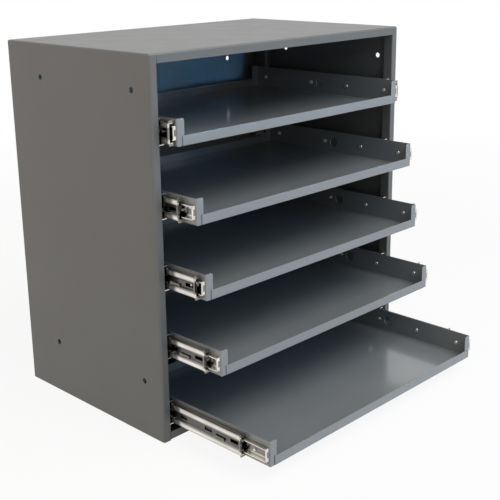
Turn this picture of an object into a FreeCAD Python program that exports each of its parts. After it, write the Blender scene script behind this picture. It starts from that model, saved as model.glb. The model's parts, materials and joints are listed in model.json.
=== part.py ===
import FreeCAD, Part
import os
import Sketcher

# Slide rack for storage bins: a folded steel cabinet with an open front, and five shallow
# trays that run on three-part ball bearing slides, one pair of slides to a tray.
# X runs across the rack, Y runs from the front to the back and Z is up. The origin is at
# the middle of the footprint, on the ground. Trays are numbered from the top.

TRAYS = 5
BALLS_IN_A_ROW = 6
WEB_SLOTS = 6
TRAY_SCREWS_IN_A_WALL = 4
SIDES = ("left", "right")
HALF_TURN = 180
RIGHT_ANGLE = 90
SHEETS_IN_A_CUT = 3
MATCH = 1e-4

X_AXIS = FreeCAD.Vector(1, 0, 0)
Y_AXIS = FreeCAD.Vector(0, 1, 0)
Z_AXIS = FreeCAD.Vector(0, 0, 1)
ORIGIN = FreeCAD.Vector(0, 0, 0)

# Driving dimensions in millimetres: name, value, what it is.
DIMENSIONS = (
    ("cabinet_width", 517.5, "outside width"),
    ("cabinet_depth", 317.5, "outside depth"),
    ("cabinet_height", 533.4, "outside height"),
    ("casing_sheet", 1.5, "sheet thickness of the cabinet"),
    ("casing_bend", 3.0, "outside radius of a bend in the cabinet"),
    ("front_flange", 12.7, "width of the flange round the front"),
    ("flange_return", 16.0, "depth of the return behind a side flange"),
    ("corner_slit", 0.4, "slit where a side flange meets the top flange"),
    ("back_flange", 12.7, "depth of the folded edge of the back panel"),
    ("post_width", 25.4, "width of a rear post"),
    ("seat_gap", 0.3, "clearance beside a piece that is not welded"),
    ("wall_hole", 8.0, "diameter of a mounting hole"),
    ("side_hole_front", 37.4, "front to the first mounting hole in a side"),
    ("side_hole_run", 203.2, "distance between side mounting holes in depth"),
    ("side_hole_low", 82.2, "ground to the lower mounting holes in a side"),
    ("side_hole_rise", 403.2, "distance between side mounting holes in height"),
    ("back_hole_inset", 73.3, "side to the nearest mounting hole in the back"),
    ("back_hole_end", 65.6, "top or ground to a mounting hole in the back"),
    ("tray_depth", 311.15, "depth of a tray"),
    ("tray_height", 36.0, "height of a tray wall"),
    ("tray_sheet", 1.2, "sheet thickness of a tray"),
    ("tray_bend", 2.0, "outside radius of a bend in a tray"),
    ("tray_tab", 12.7, "width of a corner tab"),
    ("tray_tab_round", 3.0, "corner radius of a corner tab"),
    ("tray_lip", 13.5, "height of the front and rear lips"),
    ("lip_inset", 9.0, "tray wall to the end of a lip"),
    ("lip_bend", 1.0, "outside radius of the bend under a lip"),
    ("tray_low", 21.7, "ground to the underside of the lowest tray"),
    ("tray_pitch", 98.425, "distance between trays"),
    ("tray_screw_1", 25.0, "tray front to the first wall screw"),
    ("tray_screw_2", 101.5, "tray front to the second wall screw"),
    ("tray_screw_3", 178.5, "tray front to the third wall screw"),
    ("tray_screw_4", 285.5, "tray front to the fourth wall screw"),
    ("access_hole", 16.0, "diameter of the access hole in a tray wall"),
    ("access_place", 160.0, "tray front to the access hole"),
    ("slide_rise", 18.0, "underside of a tray to the middle of its slide"),
    ("slide_thickness", 12.7, "thickness of a closed slide"),
    ("slide_length", 304.8, "length of a slide member"),
    ("slide_setback", 3.0, "front of the cabinet to the front of a slide"),
    ("slide_travel", 152.4, "travel of each stage of a slide"),
    ("member_sheet", 1.2, "sheet thickness of a slide member"),
    ("outer_height", 35.3, "height of the outer member"),
    ("outer_lip", 1.15, "height of the lip on the outer member"),
    ("outer_ball", 2.8, "diameter of a ball in the outer row"),
    ("outer_ball_place", 6.9, "slide face to the outer row of balls"),
    ("inner_ball", 2.4, "diameter of a ball in the inner row"),
    ("inner_ball_place", 8.2, "slide face to the inner row of balls"),
    ("ball_gap", 0.2, "running clearance of a ball"),
    ("middle_web", 4.4, "slide face to the web of the middle member"),
    ("middle_recess", 7.2, "slide face to the recessed web"),
    ("recess_half", 4.6, "half height of the recess at its floor"),
    ("recess_rim", 7.0, "half height of the recess at its rim"),
    ("race_crown", 1.1, "rise of the crown beside the ball race"),
    ("race_crown_end", 5.3, "slide face to the foot of the crown"),
    ("middle_reach", 9.9, "slide face to the lip of the middle member"),
    ("middle_lip", 0.85, "height of the lip on the middle member"),
    ("inner_reach", 6.5, "slide face to the flanges of the inner member"),
    ("slot_length", 14.4, "length of a slot in the middle member"),
    ("slot_height", 5.0, "height of a slot in the middle member"),
    ("slot_first", 13.3, "front of the middle member to its first slot"),
    ("slot_pitch", 49.0, "distance between slots"),
    ("stop_gap", 0.3, "outer member to the stop on the middle member"),
    ("stop_face", 1.6, "slide face to the edge of the stop"),
    ("stop_flare", 16.5, "half height of the stop"),
    ("cage_sheet", 0.4, "sheet thickness of a ball cage"),
    ("cage_play", 2.4, "play of a ball cage between the ends of its stage"),
    ("cage_edge", 2.0, "ball row to the edge of its cage"),
    ("cage_end", 10.0, "end of a cage to its first ball"),
    ("outer_cage_web", 2.4, "slide face to the web of the outer cage"),
    ("outer_cage_recess", 4.9, "slide face to the recess of the outer cage"),
    ("outer_cage_floor", 3.8, "half height of the outer cage's recess floor"),
    ("outer_cage_rim", 6.2, "half height of the outer cage's recess rim"),
    ("inner_cage_web", 5.5, "slide face to the web of the inner cage"),
    ("inner_cage_recess", 8.0, "slide face to the recess of the inner cage"),
    ("inner_cage_floor", 4.9, "half height of the inner cage's recess floor"),
    ("inner_cage_rim", 7.05, "half height of the inner cage's recess rim"),
    ("screw_head", 6.5, "diameter of a screw head"),
    ("screw_head_height", 1.8, "height of a screw head"),
    ("screw_shank", 3.5, "diameter of a screw shank"),
    ("screw_hole", 3.7, "diameter of a screw hole"),
    ("screw_head_round", 1.0, "rounding of a screw head"),
    ("screw_length", 5.0, "length of a screw under its head"),
    ("drive_width", 0.9, "width of the cross recess in a screw head"),
    ("drive_length", 3.8, "length of the cross recess in a screw head"),
    ("drive_depth", 0.9, "depth of the cross recess in a screw head"),
    ("slide_screw_front", 7.0, "front of a slide to its front screw"),
    ("middle_out_1", 16.0, "how far the top tray's middle members stand out"),
    ("middle_out_2", 29.0, "how far the second tray's middle members stand out"),
    ("middle_out_3", 57.0, "how far the third tray's middle members stand out"),
    ("middle_out_4", 71.0, "how far the fourth tray's middle members stand out"),
    ("middle_out_5", 135.0, "how far the lowest tray's middle members stand out"),
    ("tray_out_1", 20.2, "how far the top tray stands out"),
    ("tray_out_2", 52.1, "how far the second tray stands out"),
    ("tray_out_3", 66.2, "how far the third tray stands out"),
    ("tray_out_4", 91.2, "how far the fourth tray stands out"),
    ("tray_out_5", 177.0, "how far the lowest tray stands out"),
)

document = FreeCAD.newDocument("slide_rack")
sheet = document.addObject("Spreadsheet::Sheet", "Sizes")
nodes = []


def fill_sheet():
    for row, (name, number, meaning) in enumerate(DIMENSIONS, start=1):
        sheet.set("A%d" % row, name)
        sheet.set("B%d" % row, str(number))
        sheet.set("C%d" % row, meaning)
        sheet.setAlias("B%d" % row, name)
    document.recompute()


def size(name):
    return "Sizes.%s" % name


def total(*terms):
    return "(" + " + ".join("(%s)" % term for term in terms) + ")"


def less(first, *others):
    return "(" + " - ".join("(%s)" % term for term in (first,) + others) + ")"


def times(factor, term):
    return "(%s * (%s))" % (factor, term)


def twice(term):
    return "(2 * (%s))" % term


def half(term):
    return "((%s) / 2)" % term


def minus(term):
    return "(-(%s))" % term


def number(expression):
    return float(sheet.evalExpression(expression))


ZERO = "0"
WIDTH = size("cabinet_width")
DEPTH = size("cabinet_depth")
HEIGHT = size("cabinet_height")
WALL = size("casing_sheet")
FLANGE = size("front_flange")
TRAY_SHEET = size("tray_sheet")
TRAY_WIDTH = less(WIDTH, twice(FLANGE), twice(size("slide_thickness")))
LENGTH = size("slide_length")
CAGE_LENGTH = less(LENGTH, size("slide_travel"), size("cage_play"))
SHEET = size("member_sheet")
FRONT = minus(half(DEPTH))
BACK = half(DEPTH)

# A cut through one sheet starts a sheet before it and ends a sheet behind it.
WALL_CUT = times(SHEETS_IN_A_CUT, WALL)
TRAY_CUT = times(SHEETS_IN_A_CUT, TRAY_SHEET)

# Half heights of the races in a slide, from the outer member in to the inner one.
OUTER_RACE = less(half(size("outer_height")), SHEET)
OUTER_ROW = less(OUTER_RACE, size("ball_gap"), half(size("outer_ball")))
MIDDLE_TOP = less(OUTER_ROW, half(size("outer_ball")), size("ball_gap"))
MIDDLE_RACE = less(MIDDLE_TOP, SHEET)
INNER_ROW = less(MIDDLE_RACE, size("ball_gap"), half(size("inner_ball")))
INNER_TOP = less(INNER_ROW, half(size("inner_ball")), size("ball_gap"))

# A rear post stands just in front of the folded edge of the back panel.
POST_BACK = less(BACK, size("back_flange"), size("seat_gap"))
POST_FRONT = less(POST_BACK, size("post_width"))
SLIDE_FRONT = total(FRONT, size("slide_setback"))
FRONT_SCREW = total(SLIDE_FRONT, size("slide_screw_front"))
REAR_SCREW = less(POST_BACK, half(size("post_width")))


def tray_bottom(tray):
    return total(size("tray_low"), times(TRAYS - tray, size("tray_pitch")))


def slide_middle(tray):
    return total(tray_bottom(tray), size("slide_rise"))


def place(item, x=ZERO, y=ZERO, z=ZERO, turn=None):
    if turn is not None:
        item.Placement = FreeCAD.Placement(ORIGIN, turn)
    item.setExpression("Placement.Base.x", x)
    item.setExpression("Placement.Base.y", y)
    item.setExpression("Placement.Base.z", z)


def keep(item, label):
    item.Label = label
    nodes.append(item)
    return item


def new_body(name):
    return document.addObject("PartDesign::Body", name)


def box(body, kind, name, corner, extent):
    block = body.newObject("PartDesign::%sBox" % kind, name)
    block.setExpression("Length", extent[0])
    block.setExpression("Width", extent[1])
    block.setExpression("Height", extent[2])
    place(block, *corner)
    document.recompute()
    return block


def add(body, name, corner, extent):
    return box(body, "Additive", name, corner, extent)


def cut(body, name, corner, extent):
    return box(body, "Subtractive", name, corner, extent)


def drill(body, name, diameter, start, run, axis=Y_AXIS, angle=RIGHT_ANGLE):
    hole = body.newObject("PartDesign::SubtractiveCylinder", name)
    hole.setExpression("Radius", half(diameter))
    hole.setExpression("Height", run)
    place(hole, *start, turn=FreeCAD.Rotation(axis, angle))
    document.recompute()
    return hole


def edges_at(feature, places):
    wanted = [[None if c is None else number(c) for c in spot] for spot in places]
    names = []
    for index, edge in enumerate(feature.Shape.Edges, start=1):
        middle = edge.CenterOfMass
        for spot in wanted:
            if all(c is None or abs(m - c) < MATCH for m, c in zip(middle, spot)):
                names.append("Edge%d" % index)
    return names


def bend(body, name, radius, places):
    base = body.Tip
    fillet = body.newObject("PartDesign::Fillet", name)
    fillet.Base = (base, edges_at(base, places))
    fillet.setExpression("Radius", radius)
    document.recompute()
    return fillet


def repeat_up(body, feature, count, pitch):
    pattern = body.newObject("PartDesign::LinearPattern", feature.Name + "Row")
    upright = [axis for axis in body.Origin.OriginFeatures if axis.Role == "Z_Axis"][0]
    pattern.Originals = [feature]
    pattern.Direction = (upright, [""])
    pattern.setExpression("Length", times(count - 1, pitch))
    pattern.Occurrences = count
    body.Tip = pattern
    document.recompute()
    return pattern


def copy_of(master, name):
    body = new_body(name)
    body.BaseFeature = master
    return body


def both_ways(spot, *axes):
    mirrored = tuple(minus(c) if i in axes and c is not None else c for i, c in enumerate(spot))
    return [spot, mirrored]


# The cabinet


def make_cabinet_shell():
    """Top and two sides folded from one sheet, with the flange round the front."""
    body = new_body("cabinet_shell")
    side = half(WIDTH)
    inner_side = less(side, WALL)
    mouth = less(side, FLANGE)
    add(body, "ShellBlock", (minus(side), FRONT, ZERO), (WIDTH, DEPTH, HEIGHT))
    cut(
        body,
        "ShellInside",
        (minus(inner_side), total(FRONT, WALL), minus(WALL)),
        (twice(inner_side), DEPTH, HEIGHT),
    )
    cut(
        body,
        "Mouth",
        (minus(mouth), less(FRONT, WALL), minus(WALL)),
        (twice(mouth), WALL_CUT, total(less(HEIGHT, FLANGE), WALL)),
    )
    outer = both_ways((side, FRONT, None), 0) + both_ways((side, None, HEIGHT), 0)
    bend(body, "ShellBends", size("casing_bend"), outer + [(None, FRONT, HEIGHT)])
    inner_front = total(FRONT, WALL)
    inner_top = less(HEIGHT, WALL)
    inner = both_ways((inner_side, inner_front, None), 0) + both_ways((inner_side, None, inner_top), 0)
    inner_radius = less(size("casing_bend"), WALL)
    bend(body, "ShellInnerBends", inner_radius, inner + [(None, inner_front, inner_top)])
    returns = (WALL, size("flange_return"), less(HEIGHT, FLANGE))
    add(body, "LeftReturn", (less(minus(mouth), WALL), FRONT, ZERO), returns)
    add(body, "RightReturn", (mouth, FRONT, ZERO), returns)
    bend(body, "ReturnBends", WALL, both_ways((mouth, FRONT, None), 0))
    slit_height = less(FLANGE, size("casing_bend"))
    for name, x in (("LeftSlit", minus(mouth)), ("RightSlit", less(mouth, size("corner_slit")))):
        corner = (x, less(FRONT, WALL), less(HEIGHT, FLANGE))
        cut(body, name, corner, (size("corner_slit"), WALL_CUT, slit_height))
    drill_side_holes(body)
    start = less(minus(mouth), twice(WALL))
    run = twice(total(mouth, twice(WALL)))
    lowest = slide_middle(TRAYS)
    holes = drill(body, "FlangeScrewHoles", size("screw_hole"), (start, FRONT_SCREW, lowest), run)
    repeat_up(body, holes, TRAYS, size("tray_pitch"))
    return keep(body, "cabinet_shell")


def drill_side_holes(body):
    start = less(minus(half(WIDTH)), WALL)
    run = total(WIDTH, twice(WALL))
    front_hole = total(FRONT, size("side_hole_front"))
    for row, y in enumerate((front_hole, total(front_hole, size("side_hole_run")))):
        holes = drill(body, "SideHole%d" % row, size("wall_hole"), (start, y, size("side_hole_low")), run)
        repeat_up(body, holes, 2, size("side_hole_rise"))


def make_bottom_panel():
    """Floor of the cabinet, with the lower part of the front flange folded up."""
    body = new_body("bottom_panel")
    side = less(half(WIDTH), WALL)
    notch = less(half(WIDTH), FLANGE, size("seat_gap"))
    add(body, "FloorBlock", (minus(side), FRONT, ZERO), (twice(side), DEPTH, FLANGE))
    cut(body, "FloorInside", (minus(half(WIDTH)), total(FRONT, WALL), WALL), (WIDTH, DEPTH, FLANGE))
    bend(body, "FloorBend", size("casing_bend"), [(None, FRONT, ZERO)])
    inner_radius = less(size("casing_bend"), WALL)
    bend(body, "FloorInnerBend", inner_radius, [(None, total(FRONT, WALL), WALL)])
    notch_size = (FLANGE, total(size("flange_return"), size("seat_gap"), WALL), twice(FLANGE))
    for name, x in (("LeftNotch", less(minus(notch), FLANGE)), ("RightNotch", notch)):
        cut(body, name, (x, less(FRONT, WALL), minus(FLANGE)), notch_size)
    return keep(body, "bottom_panel")


def make_back_panel():
    """Back of the cabinet, a sheet with all four edges folded forward."""
    body = new_body("back_panel")
    side = less(half(WIDTH), WALL)
    top = less(HEIGHT, WALL)
    front = less(BACK, size("back_flange"))
    add(
        body,
        "BackBlock",
        (minus(side), front, WALL),
        (twice(side), size("back_flange"), less(top, WALL)),
    )
    inner_side = less(side, WALL)
    inner_top = less(top, WALL)
    inner_floor = twice(WALL)
    cut(
        body,
        "BackInside",
        (minus(inner_side), less(front, WALL), inner_floor),
        (twice(inner_side), size("back_flange"), less(inner_top, inner_floor)),
    )
    corners = both_ways((side, None, top), 0) + both_ways((side, None, WALL), 0)
    rear = both_ways((side, BACK, None), 0) + [(None, BACK, top), (None, BACK, WALL)]
    bend(body, "BackBends", size("casing_bend"), corners + rear)
    start = less(BACK, twice(WALL))
    hole_side = less(half(WIDTH), size("back_hole_inset"))
    for name, x in (("LeftBackHole", minus(hole_side)), ("RightBackHole", hole_side)):
        spot = (x, start, size("back_hole_end"))
        holes = drill(body, name, size("wall_hole"), spot, WALL_CUT, X_AXIS, -RIGHT_ANGLE)
        repeat_up(body, holes, 2, less(HEIGHT, twice(size("back_hole_end"))))
    return keep(body, "back_panel")


def make_rear_post(side):
    """Channel against the inside of a side, level with the flange return, for the slides' rear ends."""
    body = new_body("%s_rear_post" % side)
    reach = less(FLANGE, WALL)
    height = less(HEIGHT, WALL, size("casing_bend"))
    add(body, side + "PostBlock", (ZERO, ZERO, ZERO), (reach, size("post_width"), height))
    cut(
        body,
        side + "PostInside",
        (minus(WALL), WALL, minus(WALL)),
        (reach, less(size("post_width"), twice(WALL)), total(height, twice(WALL))),
    )
    edges = [(reach, ZERO, None), (reach, size("post_width"), None)]
    bend(body, side + "PostBends", size("casing_bend"), edges)
    lowest = less(slide_middle(TRAYS), WALL)
    spot = (less(reach, twice(WALL)), half(size("post_width")), lowest)
    holes = drill(body, side + "PostHoles", size("screw_hole"), spot, WALL_CUT)
    repeat_up(body, holes, TRAYS, size("tray_pitch"))
    if side == "left":
        place(body, less(WALL, half(WIDTH)), POST_FRONT, WALL)
    else:
        place(body, less(half(WIDTH), WALL), POST_BACK, WALL, turn=FreeCAD.Rotation(Z_AXIS, HALF_TURN))
    return keep(body, "%s_rear_post" % side)


# The trays


def make_tray_master():
    """One tray in its own frame: x from its middle, y from its front lip, z from its underside."""
    body = new_body("tray_master")
    side = half(TRAY_WIDTH)
    inner_side = less(side, TRAY_SHEET)
    length = less(size("tray_depth"), twice(TRAY_SHEET))
    height = size("tray_height")
    add(body, "TrayBlock", (minus(side), TRAY_SHEET, ZERO), (TRAY_WIDTH, length, height))
    cut(
        body,
        "TrayInside",
        (minus(inner_side), twice(TRAY_SHEET), TRAY_SHEET),
        (twice(inner_side), less(length, twice(TRAY_SHEET)), height),
    )
    front = TRAY_SHEET
    rear = less(size("tray_depth"), TRAY_SHEET)
    outer = both_ways((side, front, None), 0) + both_ways((side, rear, None), 0)
    bend(body, "TrayBends", size("tray_bend"), outer + both_ways((side, None, ZERO), 0))
    inner_front = total(front, TRAY_SHEET)
    inner_rear = less(rear, TRAY_SHEET)
    inner = both_ways((inner_side, inner_front, None), 0) + both_ways((inner_side, inner_rear, None), 0)
    inner_radius = less(size("tray_bend"), TRAY_SHEET)
    bend(body, "TrayInnerBends", inner_radius, inner + both_ways((inner_side, None, TRAY_SHEET), 0))
    opening = less(side, size("tray_tab"))
    end_cut = (twice(opening), TRAY_CUT, height)
    cut(body, "FrontOpening", (minus(opening), ZERO, TRAY_SHEET), end_cut)
    cut(body, "RearOpening", (minus(opening), less(rear, twice(TRAY_SHEET)), TRAY_SHEET), end_cut)
    tabs = both_ways((opening, total(front, half(TRAY_SHEET)), height), 0)
    tabs += both_ways((opening, less(rear, half(TRAY_SHEET)), height), 0)
    bend(body, "TabCorners", size("tray_tab_round"), tabs)
    lip_end = less(side, size("lip_inset"))
    lip = (twice(lip_end), TRAY_SHEET, size("tray_lip"))
    add(body, "FrontLip", (minus(lip_end), ZERO, ZERO), lip)
    add(body, "RearLip", (minus(lip_end), rear, ZERO), lip)
    bend(body, "LipBends", size("lip_bend"), [(None, ZERO, ZERO), (None, size("tray_depth"), ZERO)])
    start = less(minus(side), TRAY_SHEET)
    across = total(TRAY_WIDTH, twice(TRAY_SHEET))
    for index in range(1, TRAY_SCREWS_IN_A_WALL + 1):
        spot = (start, size("tray_screw_%d" % index), size("slide_rise"))
        drill(body, "TrayScrewHole%d" % index, size("screw_hole"), spot, across)
    spot = (start, size("access_place"), size("slide_rise"))
    drill(body, "AccessHole", size("access_hole"), spot, across)
    return body


def make_tray(master, tray):
    body = copy_of(master, "tray_%d" % tray)
    place(body, ZERO, less(FRONT, size("tray_out_%d" % tray)), tray_bottom(tray))
    return keep(body, "tray_%d" % tray)


# The slides. A member is drawn in a frame of its own: x from the face of the slide on the
# cabinet towards the tray, y from the front end of the slide and z from its middle line.


def add_path(name, points):
    """Open line in the XZ plane through points that are pairs of expressions."""
    path = document.addObject("Sketcher::SketchObject", name)
    path.Placement = FreeCAD.Placement(ORIGIN, FreeCAD.Rotation(X_AXIS, RIGHT_ANGLE))
    spots = [FreeCAD.Vector(number(x), number(z), 0) for x, z in points]
    for first, second in zip(spots, spots[1:]):
        path.addGeometry(Part.LineSegment(first, second))
    last = len(spots) - 2
    for line in range(last):
        path.addConstraint(Sketcher.Constraint("Coincident", line, 2, line + 1, 1))
    for index, (x, z) in enumerate(points):
        line, end = (index, 1) if index <= last else (last, 2)
        for kind, letter, expression in (("DistanceX", "x", x), ("DistanceY", "z", z)):
            spot = Sketcher.Constraint(kind, -1, 1, line, end, number(expression))
            path.addConstraint(spot)
            constraint = "%s%d" % (letter, index)
            path.renameConstraint(path.ConstraintCount - 1, constraint)
            path.setExpression("Constraints.%s" % constraint, expression)
    document.recompute()
    return path


def mirrored_path(upper_half):
    """Points of the upper half, then the same points below the middle line in reverse."""
    return upper_half + [(x, minus(z)) for x, z in reversed(upper_half)]


def strip(name, points, thickness, length):
    """Bent strip along Y: the path is its tray side, and it is thickened towards the cabinet."""
    section = document.addObject("Part::Offset2D", name + "Section")
    section.Source = add_path(name + "Path", points)
    section.Mode = "Skin"
    section.Join = "Arc"
    section.Fill = True
    section.setExpression("Value", minus(thickness))
    run = document.addObject("Part::Extrusion", name + "Strip")
    run.Base = section
    run.DirMode = "Custom"
    run.Dir = Y_AXIS
    run.Solid = True
    run.setExpression("LengthFwd", length)
    document.recompute()
    return run


def plain_box(name, corner, extent):
    block = document.addObject("Part::Box", name)
    block.setExpression("Length", extent[0])
    block.setExpression("Width", extent[1])
    block.setExpression("Height", extent[2])
    place(block, *corner)
    return block


def plain_cylinder(name, diameter, run, spot, turn=None):
    rod = document.addObject("Part::Cylinder", name)
    rod.setExpression("Radius", half(diameter))
    rod.setExpression("Height", run)
    place(rod, *spot, turn=turn)
    return rod


def joined(name, pieces):
    union = document.addObject("Part::MultiFuse", name)
    union.Shapes = pieces
    return union


def removed(name, base, tools):
    result = document.addObject("Part::Cut", name)
    result.Base = base
    result.Tool = joined(name + "Tools", tools)
    document.recompute()
    return result


def web_holes(name, places):
    """Drills across the slide for screw holes at the given distances from its front."""
    sideways = FreeCAD.Rotation(Y_AXIS, RIGHT_ANGLE)
    drills = []
    for index, y in enumerate(places):
        spot = (minus(SHEET), y, ZERO)
        run = total(size("slide_thickness"), twice(SHEET))
        drills.append(plain_cylinder("%s%d" % (name, index), size("screw_hole"), run, spot, sideways))
    return drills


def make_outer_master():
    """Outer member: a channel whose flanges are lipped to hold the outer rows of balls."""
    reach = total(size("outer_ball_place"), half(size("outer_ball")), size("ball_gap"))
    upper_half = [
        (reach, less(OUTER_RACE, size("outer_lip"))),
        (reach, OUTER_RACE),
        (SHEET, OUTER_RACE),
    ]
    channel = strip("Outer", mirrored_path(upper_half), SHEET, LENGTH)
    places = (less(FRONT_SCREW, SLIDE_FRONT), less(REAR_SCREW, SLIDE_FRONT))
    return removed("outer_member_master", channel, web_holes("OuterHole", places))


def make_middle_master():
    """Middle member: recessed web, crowned races and a flared stop at its front end."""
    upper_half = [
        (size("middle_reach"), less(MIDDLE_RACE, size("middle_lip"))),
        (size("middle_reach"), MIDDLE_RACE),
        (size("race_crown_end"), MIDDLE_RACE),
        (size("middle_web"), total(MIDDLE_RACE, size("race_crown"))),
        (size("middle_web"), size("recess_rim")),
        (size("middle_recess"), size("recess_half")),
    ]
    channel = strip("Middle", mirrored_path(upper_half), SHEET, LENGTH)
    stop_front = minus(total(size("stop_gap"), SHEET))
    stop_depth = total(size("stop_gap"), SHEET)
    crown = total(MIDDLE_RACE, size("race_crown"))
    pieces = [
        channel,
        plain_box(
            "StopEdge",
            (size("stop_face"), stop_front, minus(crown)),
            (less(size("middle_web"), size("stop_face")), SHEET, twice(crown)),
        ),
    ]
    reach = total(size("middle_reach"), SHEET)
    back_of_web = less(size("middle_web"), SHEET)
    for name, z in (("UpperStop", MIDDLE_RACE), ("LowerStop", minus(size("stop_flare")))):
        corner = (back_of_web, stop_front, z)
        extent = (less(reach, back_of_web), SHEET, less(size("stop_flare"), MIDDLE_RACE))
        pieces.append(plain_box(name, corner, extent))
    for name, z in (("UpperNeck", MIDDLE_RACE), ("LowerNeck", minus(MIDDLE_TOP))):
        corner = (size("race_crown_end"), stop_front, z)
        extent = (less(reach, size("race_crown_end")), stop_depth, SHEET)
        pieces.append(plain_box(name, corner, extent))
    for name, z in (("UpperEdgeNeck", size("recess_rim")), ("LowerEdgeNeck", minus(MIDDLE_RACE))):
        corner = (back_of_web, stop_front, z)
        extent = (SHEET, stop_depth, less(MIDDLE_RACE, size("recess_rim")))
        pieces.append(plain_box(name, corner, extent))
    member = joined("MiddleMember", pieces)
    slots = []
    for index in range(WEB_SLOTS):
        middle = total(size("slot_first"), times(index, size("slot_pitch")))
        slot_front = less(middle, half(size("slot_length")))
        corner = (size("middle_web"), slot_front, minus(half(size("slot_height"))))
        extent = (size("middle_recess"), size("slot_length"), size("slot_height"))
        slots.append(plain_box("Slot%d" % index, corner, extent))
    return removed("middle_member_master", member, slots)


def make_inner_master():
    """Inner member: a channel open towards the cabinet, with a closed front end."""
    web = less(size("slide_thickness"), SHEET)
    race = less(INNER_TOP, SHEET)
    upper_half = [(size("inner_reach"), race), (web, race)]
    channel = strip("Inner", mirrored_path(upper_half)[::-1], SHEET, LENGTH)
    end_face = total(size("middle_recess"), size("seat_gap"))
    end = plain_box(
        "InnerEnd",
        (end_face, ZERO, minus(INNER_TOP)),
        (less(size("slide_thickness"), end_face), SHEET, twice(INNER_TOP)),
    )
    member = joined("InnerMember", [channel, end])
    places = []
    for index in range(1, TRAY_SCREWS_IN_A_WALL + 1):
        places.append(less(size("tray_screw_%d" % index), size("slide_setback")))
    return removed("inner_member_master", member, web_holes("InnerHole", places))


def ball_places():
    run = less(CAGE_LENGTH, twice(size("cage_end")))
    step = "(%s / %d)" % (run, BALLS_IN_A_ROW - 1)
    return [total(size("cage_end"), times(index, step)) for index in range(BALLS_IN_A_ROW)]


def make_cage_master(name, upper_half, ball, place_in_slide, row):
    """Ball cage and its two rows of balls, each ball a separate solid in a pocket of the cage."""
    cage = strip(name, mirrored_path(upper_half), size("cage_sheet"), CAGE_LENGTH)
    pocket = total(ball, twice(size("ball_gap")))
    depth = times(SHEETS_IN_A_CUT, size("cage_sheet"))
    pockets = []
    balls = []
    for index, y in enumerate(ball_places()):
        for letter, z in (("Upper", row), ("Lower", minus(row))):
            label = "%s%s%d" % (name, letter, index)
            spot = (place_in_slide, y, less(z, half(depth)))
            pockets.append(plain_cylinder(label + "Pocket", pocket, depth, spot))
            sphere = document.addObject("Part::Sphere", label + "Ball")
            sphere.setExpression("Radius", half(ball))
            place(sphere, place_in_slide, y, z)
            balls.append(sphere)
    pierced = removed(name + "Pierced", cage, pockets)
    return gathered(name + "_master", [pierced] + balls)


def make_outer_cage_master():
    level = less(OUTER_ROW, half(size("cage_sheet")))
    upper_half = [
        (total(size("outer_ball_place"), size("cage_edge")), level),
        (size("outer_cage_web"), level),
        (size("outer_cage_web"), size("outer_cage_rim")),
        (size("outer_cage_recess"), size("outer_cage_floor")),
    ]
    return make_cage_master("OuterCage", upper_half, size("outer_ball"), size("outer_ball_place"), OUTER_ROW)


def make_inner_cage_master():
    level = less(INNER_ROW, half(size("cage_sheet")))
    upper_half = [
        (total(size("inner_ball_place"), size("cage_edge")), level),
        (size("inner_cage_web"), level),
        (size("inner_cage_web"), size("inner_cage_rim")),
        (size("inner_cage_recess"), size("inner_cage_floor")),
    ]
    return make_cage_master("InnerCage", upper_half, size("inner_ball"), size("inner_ball_place"), INNER_ROW)


def make_screw_master():
    """Pan head screw with a cross recess: its head stands up from z zero, its shank runs down."""
    body = new_body("screw_master")
    head = body.newObject("PartDesign::AdditiveCylinder", "ScrewHead")
    head.setExpression("Radius", half(size("screw_head")))
    head.setExpression("Height", size("screw_head_height"))
    document.recompute()
    bend(body, "ScrewHeadRound", size("screw_head_round"), [(ZERO, ZERO, size("screw_head_height"))])
    shank = body.newObject("PartDesign::AdditiveCylinder", "ScrewShank")
    shank.setExpression("Radius", half(size("screw_shank")))
    shank.setExpression("Height", total(size("screw_length"), half(size("screw_head_height"))))
    place(shank, ZERO, ZERO, minus(size("screw_length")))
    document.recompute()
    floor = less(size("screw_head_height"), size("drive_depth"))
    long_side = size("drive_length")
    short_side = size("drive_width")
    for name, x, y in (("DriveX", long_side, short_side), ("DriveY", short_side, long_side)):
        cut(body, name, (minus(half(x)), minus(half(y)), floor), (x, y, size("screw_head_height")))
    return body


# Copies in their places


def linked(master, name, x, y, z, turn):
    link = document.addObject("App::Link", name)
    link.LinkedObject = master
    place(link, x, y, z, turn=turn)
    return link


def gathered(name, members):
    group = document.addObject("Part::Compound", name)
    group.Links = members
    document.recompute()
    return group


def slide_turn(side):
    return FreeCAD.Rotation(Y_AXIS, 0 if side == "left" else HALF_TURN)


def screw_turn(side):
    return FreeCAD.Rotation(Y_AXIS, RIGHT_ANGLE if side == "left" else -RIGHT_ANGLE)


def to_side(side, distance):
    return minus(distance) if side == "left" else distance


def make_members(kind, master, tray, out):
    """The left and right copies of one slide member, as far out as the tray holds them."""
    for side in SIDES:
        name = "%s_%s_member_%d" % (side, kind, tray)
        body = copy_of(master, name)
        face = to_side(side, less(half(WIDTH), FLANGE))
        place(body, face, less(SLIDE_FRONT, out), slide_middle(tray), turn=slide_turn(side))
        keep(body, name)


def make_cages(kind, master, tray, out):
    """The left and right ball cages of one stage: a cage travels half as far as its stage."""
    name = "%s_ball_cages_%d" % (kind, tray)
    members = []
    for side in SIDES:
        face = to_side(side, less(half(WIDTH), FLANGE))
        members.append(linked(master, "%s_%s" % (name, side), face, ZERO, ZERO, slide_turn(side)))
    group = gathered(name, members)
    centred = half(less(LENGTH, CAGE_LENGTH))
    place(group, ZERO, less(total(SLIDE_FRONT, centred), out), slide_middle(tray))
    return keep(group, name)


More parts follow.
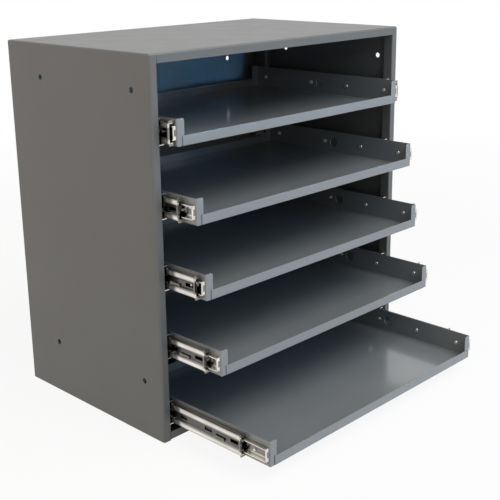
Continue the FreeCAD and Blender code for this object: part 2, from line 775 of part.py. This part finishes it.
def make_tray_screws(master, tray):
    """Screws through both walls of a tray into the inner members, heads inside the tray."""
    name = "tray_screws_%d" % tray
    members = []
    for side in SIDES:
        face = to_side(side, less(half(TRAY_WIDTH), TRAY_SHEET))
        for index in range(1, TRAY_SCREWS_IN_A_WALL + 1):
            y = size("tray_screw_%d" % index)
            label = "%s_%s_%d" % (name, side, index)
            members.append(linked(master, label, face, y, size("slide_rise"), screw_turn(side)))
    group = gathered(name, members)
    place(group, ZERO, less(FRONT, size("tray_out_%d" % tray)), tray_bottom(tray))
    return keep(group, name)


def make_slide_screws(master, side):
    """Screws through the outer members into the flange return and the rear post of one side."""
    name = "%s_slide_screws" % side
    face = to_side(side, less(half(WIDTH), FLANGE, SHEET))
    members = []
    for tray in range(1, TRAYS + 1):
        for end, y in (("front", FRONT_SCREW), ("rear", REAR_SCREW)):
            label = "%s_%d_%s" % (name, tray, end)
            members.append(linked(master, label, face, y, slide_middle(tray), screw_turn(side)))
    return keep(gathered(name, members), name)


def make_cabinet():
    make_cabinet_shell()
    make_bottom_panel()
    make_back_panel()
    for side in SIDES:
        make_rear_post(side)


def make_trays_and_slides(screw):
    tray_master = make_tray_master()
    outer_master = make_outer_master()
    middle_master = make_middle_master()
    inner_master = make_inner_master()
    outer_cage = make_outer_cage_master()
    inner_cage = make_inner_cage_master()
    for tray in range(1, TRAYS + 1):
        middle_out = size("middle_out_%d" % tray)
        tray_out = size("tray_out_%d" % tray)
        make_tray(tray_master, tray)
        make_tray_screws(screw, tray)
        make_members("outer", outer_master, tray, ZERO)
        make_members("middle", middle_master, tray, middle_out)
        make_members("inner", inner_master, tray, tray_out)
        make_cages("outer", outer_cage, tray, half(middle_out))
        make_cages("inner", inner_cage, tray, half(total(middle_out, tray_out)))


def failed_objects():
    failed = [item.Name for item in document.Objects if {"Invalid", "Error"} & set(item.State)]
    for node in nodes:
        if node.Shape.isNull() or not node.Shape.isValid():
            failed.append(node.Label)
    return failed


def write_nodes():
    os.makedirs("parts", exist_ok=True)
    for node in nodes:
        node.Shape.exportStep(os.path.join("parts", node.Label + ".step"))


fill_sheet()
make_cabinet()
screw_master = make_screw_master()
make_trays_and_slides(screw_master)
for hand in SIDES:
    make_slide_screws(screw_master, hand)
document.recompute()
failures = failed_objects()
if failures:
    raise RuntimeError("not built: " + ", ".join(failures))
write_nodes()
print(len(nodes), "nodes written")
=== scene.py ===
import json
import math

import bmesh
import bpy
from mathutils import Matrix, Vector


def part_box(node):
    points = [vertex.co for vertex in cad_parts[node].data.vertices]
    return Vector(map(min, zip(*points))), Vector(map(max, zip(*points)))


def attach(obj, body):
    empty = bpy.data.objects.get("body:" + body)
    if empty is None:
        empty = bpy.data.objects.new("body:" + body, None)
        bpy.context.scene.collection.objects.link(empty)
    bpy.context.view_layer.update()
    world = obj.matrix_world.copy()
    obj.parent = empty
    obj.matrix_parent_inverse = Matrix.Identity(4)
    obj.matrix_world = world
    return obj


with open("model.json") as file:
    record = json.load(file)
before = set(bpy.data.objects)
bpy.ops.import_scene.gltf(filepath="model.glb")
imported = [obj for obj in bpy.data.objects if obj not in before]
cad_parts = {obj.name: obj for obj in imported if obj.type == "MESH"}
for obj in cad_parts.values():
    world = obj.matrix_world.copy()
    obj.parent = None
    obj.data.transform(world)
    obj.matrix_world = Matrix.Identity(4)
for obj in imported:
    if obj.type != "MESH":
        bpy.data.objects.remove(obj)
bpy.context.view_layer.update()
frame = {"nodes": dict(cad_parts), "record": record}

MM = 0.001
TRAYS = 5
OPAQUE = 1.0
SIDES = ("left", "right")

# Camera, in millimetres from the lower front left corner of the cabinet, in radians and in pixels
# of a picture 500 wide.
CAMERA_PLACE = (-759.2, -917.1, 657.6)
CAMERA_YAW = 0.7943
CAMERA_PITCH = 0.2781
CAMERA_ROLL = -0.0135
CAMERA_FOCAL_PIXELS = 954.35
CAMERA_SHIFT = -0.06
PICTURE_PIXELS = 500
SENSOR_MM = 36.0

# Nearest and furthest distance that the camera sees, in metres.
CLIP_START = 0.05
CLIP_END = 50.0


# Node helpers


# Most of a noise texture's values lie between these two.
NOISE_LOW = 0.3
NOISE_HIGH = 0.7

# Cosines between a rounded and a plain normal: on an edge, and where the edge ends.
EDGE_COSINE = 0.75
FLAT_COSINE = 0.995

# Ambient occlusion in a closed corner and on an open face.
CLOSED = 0.15
OPEN = 0.85

EDGE_SAMPLES = 6
CREVICE_SAMPLES = 8


class Shader:
    """A material whose nodes are added one at a time, with the Principled shader made first."""

    def __init__(self, name):
        self.material = bpy.data.materials.new(name)
        self.material.use_nodes = True
        self.tree = self.material.node_tree
        self.surface = self.tree.nodes["Principled BSDF"]
        self.output = self.tree.nodes["Material Output"]
        self.place = self.add("ShaderNodeTexCoord").outputs["Object"]

    def add(self, kind, settings=None, **inputs):
        node = self.tree.nodes.new(kind)
        for name, value in (settings or {}).items():
            setattr(node, name, value)
        for name, value in inputs.items():
            self.feed(node.inputs[name.replace("_", " ")], value)
        return node

    def feed(self, socket, value):
        if isinstance(value, bpy.types.NodeSocket):
            self.tree.links.new(value, socket)
        else:
            socket.default_value = value

    def set(self, **inputs):
        for name, value in inputs.items():
            self.feed(self.surface.inputs[name.replace("_", " ")], value)

    def noise(self, scale, detail=2.0, stretch=(1, 1, 1)):
        """Noise from about 0.25 to 0.75; scale is in cells to a metre."""
        spread = self.add("ShaderNodeMapping", Vector=self.place, Scale=stretch)
        texture = self.add(
            "ShaderNodeTexNoise", Vector=spread.outputs["Vector"], Scale=scale, Detail=detail
        )
        return texture.outputs["Fac"]

    def between(self, value, low, high, start=NOISE_LOW, end=NOISE_HIGH):
        """Number that goes from low to high, and no further, while value goes from start to end."""
        node = self.add("ShaderNodeMapRange", Value=value)
        for name, number in (("From Min", start), ("From Max", end), ("To Min", low), ("To Max", high)):
            node.inputs[name].default_value = number
        return node.outputs["Result"]

    def scaled(self, value, low, high):
        """Number that runs evenly from low to high while value runs from 0 to 1."""
        node = self.add("ShaderNodeMath", {"operation": "MULTIPLY_ADD"})
        self.feed(node.inputs[0], value)
        node.inputs[1].default_value = high - low
        node.inputs[2].default_value = low
        return node.outputs[0]

    def blend(self, share, first, second):
        node = self.add("ShaderNodeMix", {"data_type": "RGBA"})
        self.feed(node.inputs[0], share)
        self.feed(node.inputs[6], first)
        self.feed(node.inputs[7], second)
        return node.outputs[2]

    def math(self, operation, first, second=0.0):
        node = self.add("ShaderNodeMath", {"operation": operation})
        self.feed(node.inputs[0], first)
        self.feed(node.inputs[1], second)
        return node.outputs[0]

    def rounded(self, radius):
        """Normal that is rounded near an edge."""
        return self.add("ShaderNodeBevel", {"samples": EDGE_SAMPLES}, Radius=radius).outputs["Normal"]

    def edge(self, rounded_normal):
        """Share that grows from 0 on a flat face to 1 on an edge."""
        plain = self.add("ShaderNodeNewGeometry").outputs["Normal"]
        dot = self.add("ShaderNodeVectorMath", {"operation": "DOT_PRODUCT"})
        self.feed(dot.inputs[0], rounded_normal)
        self.feed(dot.inputs[1], plain)
        return self.between(dot.outputs["Value"], 1.0, 0.0, EDGE_COSINE, FLAT_COSINE)

    def crevice(self, reach):
        """Share that is 1 on open faces and falls to 0 in corners and narrow gaps."""
        node = self.add("ShaderNodeAmbientOcclusion", {"samples": CREVICE_SAMPLES}, Distance=reach)
        return self.between(node.outputs["AO"], 0.0, 1.0, CLOSED, OPEN)

    def bump(self, height, strength, distance, normal=None):
        node = self.add("ShaderNodeBump", Height=height, Strength=strength, Distance=distance)
        if normal is not None:
            self.feed(node.inputs["Normal"], normal)
        return node.outputs["Normal"]


def colour(red, green, blue):
    return (red, green, blue, OPAQUE)


# Materials. Noise scales are in cells to a metre, and bumps are in metres.


PAINT_EDGE = 0.5 * MM
PAINT_CLOUDS = 7
PAINT_CLOUD_SHADE = 0.93
PAINT_GLOSS_PATCHES = 24
# Patches of lighter colour along edges: partly a thinner film, partly a painted highlight.
EDGE_FILM_AND_HIGHLIGHT_PATCHES = 260
EDGE_FILM_AND_HIGHLIGHT_SHARE = (0.2, 0.55)
PEEL = 620
PIMPLES = 2600
PIMPLE_SHARE = 0.25
PEEL_STRENGTH = 0.16
PEEL_HEIGHT = 0.12 * MM
PAINT_IOR = 1.5
COAT_IOR = 1.6
COAT_ROUGHNESS = 0.13

CASING_PAINT = colour(0.096, 0.099, 0.100)
# Lighter colour on the casing's edges: partly a thinner film, partly a painted highlight.
CASING_FILM_AND_HIGHLIGHT = colour(0.18, 0.195, 0.205)
CASING_ROUGHNESS = (0.40, 0.50)
CASING_GLOSS = 0.06
TRAY_PAINT = colour(0.152, 0.165, 0.175)
# Lighter colour on the trays' edges: partly a thinner film, partly a painted highlight.
TRAY_FILM_AND_HIGHLIGHT = colour(0.27, 0.29, 0.305)
TRAY_ROUGHNESS = (0.30, 0.42)
TRAY_GLOSS = 0.8


def powder_coat(name, body_colour, film_and_highlight_colour, roughness, gloss):
    """Satin powder coat: a slight orange peel, faint clouds of gloss, and a lighter colour on edges that
    is partly a thinner film and partly a painted highlight.
    """
    shader = Shader(name)
    rounded = shader.rounded(PAINT_EDGE)
    clouds = shader.between(shader.noise(PAINT_CLOUDS, 3.0), 0.0, 1.0)
    darker = colour(*(PAINT_CLOUD_SHADE * c for c in body_colour[:3]))
    painted = shader.blend(clouds, darker, body_colour)
    # Lighter colour along edges in patches: partly a thinner film, partly a painted highlight.
    patches = shader.between(shader.noise(EDGE_FILM_AND_HIGHLIGHT_PATCHES), *EDGE_FILM_AND_HIGHLIGHT_SHARE)
    film = shader.math("MULTIPLY", shader.edge(rounded), patches)
    shader.set(Base_Color=shader.blend(film, painted, film_and_highlight_colour))
    shader.set(Roughness=shader.scaled(shader.noise(PAINT_GLOSS_PATCHES, 2.0), *roughness))
    pimples = shader.math("MULTIPLY", shader.noise(PIMPLES), PIMPLE_SHARE)
    peel = shader.math("ADD", shader.noise(PEEL, 1.0), pimples)
    shader.set(Normal=shader.bump(peel, PEEL_STRENGTH, PEEL_HEIGHT, rounded))
    shader.set(IOR=PAINT_IOR, Coat_Weight=gloss, Coat_Roughness=COAT_ROUGHNESS, Coat_IOR=COAT_IOR)
    return shader.material


# Hollows of the slide members and of the ball cages, which are painted darker as shade: where each
# starts and ends from the face of its slide, and how far it reaches from the slide's middle line.
SHADED_HOLLOWS = {
    "middle": (3.7 * MM, 12.0 * MM, 6.2 * MM),
    "inner": (9.0 * MM, 12.0 * MM, 3.9 * MM),
    "cage": (2.0 * MM, 12.0 * MM, 5.4 * MM),
}
HOLLOW_SHADE_FADE = 0.8 * MM
HOLLOW_SHADE_END_FADE = 0.4 * MM


def place_in_slide(shader):
    """Distance from the face of the nearest slide, and distance from its middle line."""
    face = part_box("right_outer_member_1")[1].x
    heights = [sum(c.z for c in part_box("left_middle_member_%d" % tray)) / 2 for tray in (1, TRAYS)]
    pitch = (heights[0] - heights[1]) / (TRAYS - 1)
    parts = shader.add("ShaderNodeSeparateXYZ", Vector=shader.place)
    depth = shader.math("SUBTRACT", face, shader.math("ABSOLUTE", parts.outputs["X"]))
    above = shader.math("SUBTRACT", parts.outputs["Z"], heights[1] - pitch / 2)
    from_middle = shader.math("SUBTRACT", shader.math("MODULO", above, pitch), pitch / 2)
    return depth, shader.math("ABSOLUTE", from_middle)


def in_hollow(shader, member, depth, away):
    """1 in the hollow of a slide member, where painted shade goes, and 0 on its bright races."""
    start, end, half = SHADED_HOLLOWS[member]
    inside = shader.between(depth, 0.0, 1.0, start, start + HOLLOW_SHADE_FADE)
    outside = shader.between(depth, 1.0, 0.0, end, end + HOLLOW_SHADE_END_FADE)
    level = shader.between(away, 1.0, 0.0, half, half + HOLLOW_SHADE_FADE)
    return shader.math("MULTIPLY", shader.math("MULTIPLY", inside, outside), level)


# Painted highlight along the middle of the races that a middle member shows, and painted shade along
# their edges, as a rounded race would show: distance of the middle from the slide's middle line, and how
# far from there the colour is bright and is dark.
RACE_MIDDLE = 10.5 * MM
RACE_HIGHLIGHT_WIDTH = 1.2 * MM
RACE_SHADE_FROM = 3.6 * MM


def race_edge_shade(shader, away):
    """0 along the middle of a race, where the painted highlight is, and 1 along its edges, where painted
    shade goes.
    """
    off = shader.math("ABSOLUTE", shader.math("SUBTRACT", away, RACE_MIDDLE))
    return shader.between(off, 0.0, 1.0, RACE_HIGHLIGHT_WIDTH, RACE_SHADE_FROM)


ZINC_EDGE = 0.25 * MM
ZINC_BRIGHT = colour(0.86, 0.83, 0.77)
ZINC_CLOUDY = colour(0.62, 0.60, 0.55)
# Painted shade along the edges of the races.
ZINC_RACE_SHADE = colour(0.26, 0.25, 0.235)
# Painted shade in corners and narrow gaps.
ZINC_CORNER_SHADE = colour(0.10, 0.10, 0.105)
# Painted shade in the hollows.
ZINC_HOLLOW_SHADE = colour(0.10, 0.095, 0.09)
ZINC_ROUGHNESS = (0.15, 0.21)
ZINC_ROUGHNESS_CLOUDS = (0.85, 1.15)
# How far the painted shade in corners reaches, for each member.
ZINC_SHADE_REACH = {"outer": 3 * MM, "middle": 6 * MM, "inner": 6 * MM}
# Share of the painted shade in the hollows, in cloudy patches.
HOLLOW_SHADE_SHARE = (0.6, 1.0)
ROLLING_LINES = 5200
ROLLING_STRETCH = (1, 0.05, 1)
ROLLING_STRENGTH = 0.08
ROLLING_HEIGHT = 0.03 * MM
ZINC_CLOUDS = 90
ZINC_CLOUD_STRETCH = (1, 0.4, 1)


def rolled_zinc(member):
    """Zinc plated strip: fine lines along the rolling direction, cloudy plating, painted shade in
    corners and hollows, and on a middle member a painted highlight along its races with painted shade at
    their edges.
    """
    shader = Shader("%s_member_zinc" % member)
    rounded = shader.rounded(ZINC_EDGE)
    lines = shader.noise(ROLLING_LINES, 2.0, ROLLING_STRETCH)
    clouds = shader.noise(ZINC_CLOUDS, 5.0, ZINC_CLOUD_STRETCH)
    plated = shader.blend(shader.between(clouds, 0.0, 1.0), ZINC_CLOUDY, ZINC_BRIGHT)
    # Painted shade: darker in corners and narrow gaps, by ambient occlusion.
    plated = shader.blend(shader.crevice(ZINC_SHADE_REACH[member]), ZINC_CORNER_SHADE, plated)
    if member in SHADED_HOLLOWS:
        depth, away = place_in_slide(shader)
        if member == "middle":
            # Painted highlight along the middle of each race and painted shade along its edges.
            plated = shader.blend(race_edge_shade(shader, away), plated, ZINC_RACE_SHADE)
        # Painted shade in the hollow, in cloudy patches.
        hollow = in_hollow(shader, member, depth, away)
        hollow_shade = shader.math("MULTIPLY", hollow, shader.scaled(clouds, *HOLLOW_SHADE_SHARE))
        plated = shader.blend(hollow_shade, plated, ZINC_HOLLOW_SHADE)
    shader.set(Base_Color=plated, Metallic=1.0)
    cloudy = shader.scaled(clouds, *ZINC_ROUGHNESS_CLOUDS)
    shader.set(Roughness=shader.math("MULTIPLY", cloudy, shader.scaled(lines, *ZINC_ROUGHNESS)))
    shader.set(Normal=shader.bump(lines, ROLLING_STRENGTH, ROLLING_HEIGHT, rounded))
    return shader.material


STEEL_CLEAN = colour(0.64, 0.65, 0.67)
STEEL_FILM = colour(0.50, 0.49, 0.46)
# Painted shade in the cages' hollows.
STEEL_HOLLOW_SHADE = colour(0.05, 0.048, 0.045)
STEEL_ROUGHNESS = (0.10, 0.25)
STEEL_FILM_PATCHES = 400
STEEL_GLOSS_PATCHES = 900
STEEL_GRAIN = 1800
STEEL_GRAIN_STRENGTH = 0.05
STEEL_GRAIN_HEIGHT = 0.02 * MM


def polished_steel(name):
    """Ball bearing steel with a thin film of grease in patches, and painted shade in the cages' hollows.
    """
    shader = Shader(name)
    film = shader.between(shader.noise(STEEL_FILM_PATCHES, 3.0), 0.0, 1.0)
    steel = shader.blend(film, STEEL_CLEAN, STEEL_FILM)
    # Painted shade in the hollows of the cages.
    hollow = in_hollow(shader, "cage", *place_in_slide(shader))
    shader.set(Base_Color=shader.blend(hollow, steel, STEEL_HOLLOW_SHADE))
    gloss = shader.between(shader.noise(STEEL_GLOSS_PATCHES), *STEEL_ROUGHNESS)
    shader.set(Metallic=1.0, Roughness=gloss)
    grain = shader.noise(STEEL_GRAIN)
    shader.set(Normal=shader.bump(grain, STEEL_GRAIN_STRENGTH, STEEL_GRAIN_HEIGHT))
    return shader.material


SCREW_EDGE = 0.2 * MM
SCREW_DULL = colour(0.62, 0.62, 0.60)
SCREW_BRIGHT = colour(0.80, 0.80, 0.79)
SCREW_EDGES = colour(0.90, 0.90, 0.88)
SCREW_ROUGHNESS = (0.29, 0.42)
SCREW_PATCHES = 1500
SCREW_GLOSS_PATCHES = 2400
SCREW_GRAIN = 3000
SCREW_GRAIN_STRENGTH = 0.08
SCREW_GRAIN_HEIGHT = 0.03 * MM


def screw_steel(name):
    """Zinc plated screws in two shades, brighter on the edges where a tool has rubbed."""
    shader = Shader(name)
    rounded = shader.rounded(SCREW_EDGE)
    patches = shader.between(shader.noise(SCREW_PATCHES, 3.0), 0.0, 1.0)
    plated = shader.blend(patches, SCREW_DULL, SCREW_BRIGHT)
    shader.set(Base_Color=shader.blend(shader.edge(rounded), plated, SCREW_EDGES))
    gloss = shader.between(shader.noise(SCREW_GLOSS_PATCHES), *SCREW_ROUGHNESS)
    shader.set(Metallic=1.0, Roughness=gloss)
    grain = shader.noise(SCREW_GRAIN)
    shader.set(Normal=shader.bump(grain, SCREW_GRAIN_STRENGTH, SCREW_GRAIN_HEIGHT, rounded))
    return shader.material


NYLON_EDGE = 0.3 * MM
NYLON_DARK = colour(0.13, 0.145, 0.115)
NYLON_PALE = colour(0.18, 0.20, 0.16)
NYLON_ROUGHNESS = (0.42, 0.58)
NYLON_PATCHES = 500
NYLON_GLOSS_PATCHES = 1400
NYLON_GRAIN = 3200
NYLON_GRAIN_STRENGTH = 0.10
NYLON_GRAIN_HEIGHT = 0.03 * MM


def moulded_nylon(name):
    """Grey green nylon with a matt moulded skin."""
    shader = Shader(name)
    rounded = shader.rounded(NYLON_EDGE)
    shade = shader.between(shader.noise(NYLON_PATCHES, 3.0), 0.0, 1.0)
    shader.set(Base_Color=shader.blend(shade, NYLON_DARK, NYLON_PALE))
    shader.set(Roughness=shader.between(shader.noise(NYLON_GLOSS_PATCHES), *NYLON_ROUGHNESS))
    grain = shader.noise(NYLON_GRAIN)
    shader.set(Normal=shader.bump(grain, NYLON_GRAIN_STRENGTH, NYLON_GRAIN_HEIGHT, rounded))
    return shader.material


def dress_nodes():
    zinc = {member: rolled_zinc(member) for member in ZINC_SHADE_REACH}
    finishes = {
        "cabinet_paint": powder_coat(
            "casing_paint", CASING_PAINT, CASING_FILM_AND_HIGHLIGHT, CASING_ROUGHNESS, CASING_GLOSS
        ),
        "tray_paint": powder_coat("tray_paint", TRAY_PAINT, TRAY_FILM_AND_HIGHLIGHT, TRAY_ROUGHNESS, TRAY_GLOSS),
        "bearing_steel": polished_steel("bearing_steel"),
        "screw_steel": screw_steel("screw_steel"),
    }
    for part in frame["record"]["subparts"]:
        mesh = frame["nodes"][part["node"]].data
        mesh.materials.clear()
        if part["material_slot"] == "zinc_plate":
            mesh.materials.append(zinc[part["node"].split("_")[1]])
        else:
            mesh.materials.append(finishes[part["material_slot"]])


# Catch levers


LEVER_FRONT = 32 * MM
LEVER_LENGTH = 19 * MM
LEVER_HEIGHT = 3.2 * MM
LEVER_THICKNESS = 1.3 * MM
LEVER_BELOW_MIDDLE = 3.6 * MM
LEVER_FACE_FROM_SLIDE = 3.7 * MM
LEVER_ROUNDING = 0.25 * MM
LEVER_HEAD_RADIUS = 1.35 * LEVER_HEIGHT / 2
PIVOT_RADIUS = 1.5 * MM
RECESS_FLOOR_FROM_SLIDE = 6.0 * MM
ROUND_STEPS = 10

# Finger and hook of a lever, from its head along the underside to the hook and back along the top, in
# shares of its length and of half its height.
LEVER_FINGER = (
    (0.62, -1.0), (0.2, -0.8), (0.06, -1.5), (0.0, -1.3), (0.0, 0.5), (0.10, 1.0), (0.62, 1.0),
)


def lever_outline():
    """Lever seen from its slide: a long finger with a round head at its rear and a hooked front."""
    points = []
    for step in range(ROUND_STEPS + 1):
        angle = math.pi / 2 - math.pi * step / ROUND_STEPS
        along = LEVER_LENGTH - LEVER_HEAD_RADIUS + LEVER_HEAD_RADIUS * math.cos(angle)
        points.append((along, LEVER_HEAD_RADIUS * math.sin(angle)))
    for length_share, height_share in LEVER_FINGER:
        points.append((length_share * LEVER_LENGTH, height_share * LEVER_HEIGHT / 2))
    return points


def extrude_outline(mesh, outline, start, end):
    """Adds a prism along X from an outline of (y, z) points."""
    near = [mesh.verts.new((start, y, z)) for y, z in outline]
    far = [mesh.verts.new((end, y, z)) for y, z in outline]
    mesh.faces.new(near)
    mesh.faces.new(list(reversed(far)))
    count = len(outline)
    for index in range(count):
        after = (index + 1) % count
        mesh.faces.new((near[index], far[index], far[after], near[after]))


def pivot_outline():
    centre = LEVER_LENGTH - LEVER_HEAD_RADIUS
    turns = [2 * math.pi * step / (2 * ROUND_STEPS) for step in range(2 * ROUND_STEPS)]
    return [(centre + PIVOT_RADIUS * math.cos(a), PIVOT_RADIUS * math.sin(a)) for a in turns]


def make_lever(side, tray, material):
    """Catch lever in the outer recess of a middle member, on a pivot that stands on the recess floor."""
    name = "%s_catch_lever_%d" % (side, tray)
    mesh = bmesh.new()
    extrude_outline(mesh, lever_outline(), 0.0, LEVER_THICKNESS)
    extrude_outline(
        mesh, pivot_outline(), LEVER_THICKNESS, RECESS_FLOOR_FROM_SLIDE - LEVER_FACE_FROM_SLIDE
    )
    bmesh.ops.recalc_face_normals(mesh, faces=mesh.faces)
    data = bpy.data.meshes.new(name)
    mesh.to_mesh(data)
    mesh.free()
    lever = bpy.data.objects.new(name, data)
    bpy.context.scene.collection.objects.link(lever)
    low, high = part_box("%s_middle_member_%d" % (side, tray))
    outer_low, outer_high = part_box("%s_outer_member_%d" % (side, tray))
    middle = (low.z + high.z) / 2
    front = low.y + LEVER_FRONT
    if side == "left":
        lever.location = (outer_low.x + LEVER_FACE_FROM_SLIDE, front, middle - LEVER_BELOW_MIDDLE)
    else:
        lever.location = (outer_high.x - LEVER_FACE_FROM_SLIDE, front, middle + LEVER_BELOW_MIDDLE)
        lever.rotation_euler = (0.0, math.pi, 0.0)
    bevel = lever.modifiers.new("Rounding", "BEVEL")
    bevel.width = LEVER_ROUNDING
    bevel.segments = 2
    bevel.limit_method = "ANGLE"
    data.materials.append(material)
    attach(lever, "middle_%d" % tray)


def make_levers():
    nylon = moulded_nylon("lever_nylon")
    for tray in range(1, TRAYS + 1):
        for side in SIDES:
            make_lever(side, tray, nylon)


# Floor, light and camera


WHITE = colour(1, 1, 1)
FLOOR_HALF = 6.0
FLOOR_PATCHES = 3
FLOOR_DARK = colour(0.60, 0.60, 0.60)
FLOOR_PALE = colour(0.62, 0.62, 0.62)
FLOOR_ROUGHNESS = 0.9

# Share of plain white in the floor as it is seen, and the distances in metres from the middle of the
# frame between which that share rises to 1.
SEEN_WHITE = 0.9
WHITE_FROM = 0.9
WHITE_AT = 2.2

SOFT_LIGHT = colour(1.0, 0.98, 0.94)
SOFT_STRENGTH = 0.42


def background_share(tree):
    """1 for the rays that show the background: seen directly, or in gloss or glass."""
    path = tree.nodes.new("ShaderNodeLightPath")
    share = path.outputs["Is Camera Ray"]
    for name in ("Is Glossy Ray", "Is Transmission Ray"):
        larger = tree.nodes.new("ShaderNodeMath")
        larger.operation = "MAXIMUM"
        tree.links.new(share, larger.inputs[0])
        tree.links.new(path.outputs[name], larger.inputs[1])
        share = larger.outputs[0]
    return share


def make_floor():
    bpy.ops.mesh.primitive_plane_add(size=2 * FLOOR_HALF, location=(0, 0, 0))
    floor = bpy.context.object
    floor.name = "floor"
    shader = Shader("pale_floor")
    shade = shader.between(shader.noise(FLOOR_PATCHES), 0.0, 1.0)
    shader.set(Base_Color=shader.blend(shade, FLOOR_DARK, FLOOR_PALE))
    shader.set(Roughness=FLOOR_ROUGHNESS)
    white = shader.add("ShaderNodeEmission", Color=WHITE, Strength=1.0)
    mix = shader.add("ShaderNodeMixShader")
    reach = shader.add("ShaderNodeVectorMath", {"operation": "LENGTH"}, Vector=shader.place)
    fade = shader.between(reach.outputs["Value"], SEEN_WHITE, 1.0, WHITE_FROM, WHITE_AT)
    share = shader.math("MULTIPLY", background_share(shader.tree), fade)
    shader.feed(mix.inputs[0], share)
    shader.feed(mix.inputs[1], shader.surface.outputs[0])
    shader.feed(mix.inputs[2], white.outputs[0])
    shader.feed(shader.output.inputs["Surface"], mix.outputs[0])
    shader.material.cycles.emission_sampling = "NONE"
    floor.data.materials.append(shader.material)


def make_world():
    world = bpy.data.worlds.new("studio")
    bpy.context.scene.world = world
    world.use_nodes = True
    world.cycles.sampling_method = "NONE"
    tree = world.node_tree
    tree.nodes.clear()
    soft = tree.nodes.new("ShaderNodeBackground")
    soft.inputs["Color"].default_value = SOFT_LIGHT
    soft.inputs["Strength"].default_value = SOFT_STRENGTH
    seen = tree.nodes.new("ShaderNodeBackground")
    seen.inputs["Color"].default_value = WHITE
    seen.inputs["Strength"].default_value = 1.0
    mix = tree.nodes.new("ShaderNodeMixShader")
    output = tree.nodes.new("ShaderNodeOutputWorld")
    tree.links.new(background_share(tree), mix.inputs[0])
    tree.links.new(soft.outputs[0], mix.inputs[1])
    tree.links.new(seen.outputs[0], mix.inputs[2])
    tree.links.new(mix.outputs[0], output.inputs["Surface"])


# Lamps: place and target in metres, width in metres, power in watts and colour.
LAMP_TARGET = (0.0, -0.05, 0.25)
LAMPS = {
    "key_lamp": ((-0.7, -2.2, 1.9), LAMP_TARGET, 1.4, 20.0, (0.76, 0.90, 1.0)),
    "side_lamp": ((-2.4, 0.3, 1.2), LAMP_TARGET, 1.4, 22.0, (1.0, 0.74, 0.53)),
    "blue_lamp": ((1.3, -2.1, 0.66), (-0.1, 0.2, 0.45), 0.8, 13.0, (0.18, 0.54, 1.0)),
    "top_lamp": ((0.45, -1.35, 2.15), (0.0, -0.4, 0.1), 1.5, 47.0, (1.0, 0.96, 0.90)),
}


def make_lamp(name, place, target, width, power, tint):
    data = bpy.data.lights.new(name, "AREA")
    data.shape = "SQUARE"
    data.size = width
    data.energy = power
    data.color = tint
    lamp = bpy.data.objects.new(name, data)
    lamp.location = place
    lamp.rotation_mode = "QUATERNION"
    lamp.rotation_quaternion = (Vector(target) - Vector(place)).to_track_quat("-Z", "Y")
    bpy.context.scene.collection.objects.link(lamp)
    return lamp


def make_lamps():
    lamps = {name: make_lamp(name, *settings) for name, settings in LAMPS.items()}
    lamps["blue_lamp"].visible_glossy = False


# Narrow level lamps before the two upper bays. They reach the inside of the back, which the photo
# shows blue: height of the middle and of the beam in metres, and power in watts.
BAY_LAMPS = {1: (0.4685, 0.088, 0.09), 2: (0.3605, 0.064, 0.045)}
BAY_LAMP_Y = -0.7
BAY_LAMP_WIDTH = 0.45
BAY_LAMP_TINT = (0.16, 0.53, 1.0)
BAY_LAMP_SPREAD = math.radians(1)


def make_bay_lamps():
    for tray, (height, beam, power) in BAY_LAMPS.items():
        place, target = (0.0, BAY_LAMP_Y, height), (0.0, 0.0, height)
        lamp = make_lamp("bay_lamp_%d" % tray, place, target, BAY_LAMP_WIDTH, power, BAY_LAMP_TINT)
        lamp.data.shape = "RECTANGLE"
        lamp.data.size_y = beam
        lamp.data.spread = BAY_LAMP_SPREAD
        lamp.visible_camera = False
        lamp.visible_glossy = False


def make_camera():
    low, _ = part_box("cabinet_shell")
    corner = Vector((low.x, low.y, 0.0))
    ahead = Vector((
        math.sin(CAMERA_YAW) * math.cos(CAMERA_PITCH),
        math.cos(CAMERA_YAW) * math.cos(CAMERA_PITCH),
        -math.sin(CAMERA_PITCH),
    ))
    level = Vector((math.cos(CAMERA_YAW), -math.sin(CAMERA_YAW), 0.0))
    upright = level.cross(ahead)
    across = math.cos(CAMERA_ROLL) * level + math.sin(CAMERA_ROLL) * upright
    above = across.cross(ahead)
    data = bpy.data.cameras.new("camera")
    data.sensor_width = SENSOR_MM
    data.lens = CAMERA_FOCAL_PIXELS * SENSOR_MM / PICTURE_PIXELS
    data.shift_y = CAMERA_SHIFT
    data.clip_start = CLIP_START
    data.clip_end = CLIP_END
    camera = bpy.data.objects.new("camera", data)
    turn = Matrix((across, above, -ahead)).transposed().to_4x4()
    camera.matrix_world = Matrix.Translation(corner + Vector(CAMERA_PLACE) * MM) @ turn
    bpy.context.scene.collection.objects.link(camera)
    bpy.context.scene.camera = camera


bpy.context.scene.view_settings.view_transform = "Standard"
make_camera()
dress_nodes()
make_levers()
make_floor()
make_world()
make_lamps()
make_bay_lamps()
